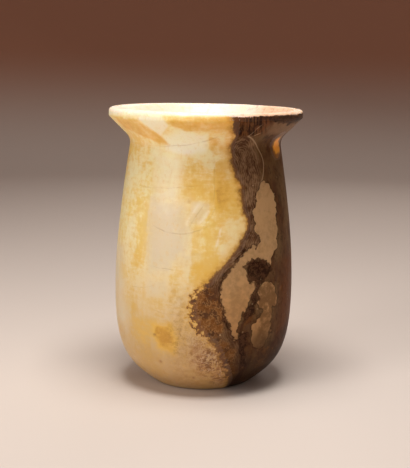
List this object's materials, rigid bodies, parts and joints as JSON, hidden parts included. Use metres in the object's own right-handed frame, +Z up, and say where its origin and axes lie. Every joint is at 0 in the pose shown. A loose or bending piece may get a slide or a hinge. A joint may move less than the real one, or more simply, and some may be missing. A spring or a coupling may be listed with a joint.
{
  "type": "alabaster jar",
  "caption": "Open jar of banded calcite with a rounded base, tapering neck, flared rim and a drilled hollow, of the kind also described as a canopic jar.",
  "frame": {"origin": "centre of the flat spot that the jar stands on", "axes": "+Z up along the jar's axis of turning; -Y is the side that faces the viewer, with the brown vein to its right, towards +X"},
  "size_m": [0.168, 0.168, 0.24],
  "materials": {
    "alabaster": "worn polish, translucent honey and cream calcite with a band of brown veining"
  },
  "bodies": {
    "root": {"jar": "alabaster"}
  },
  "joints": []
}
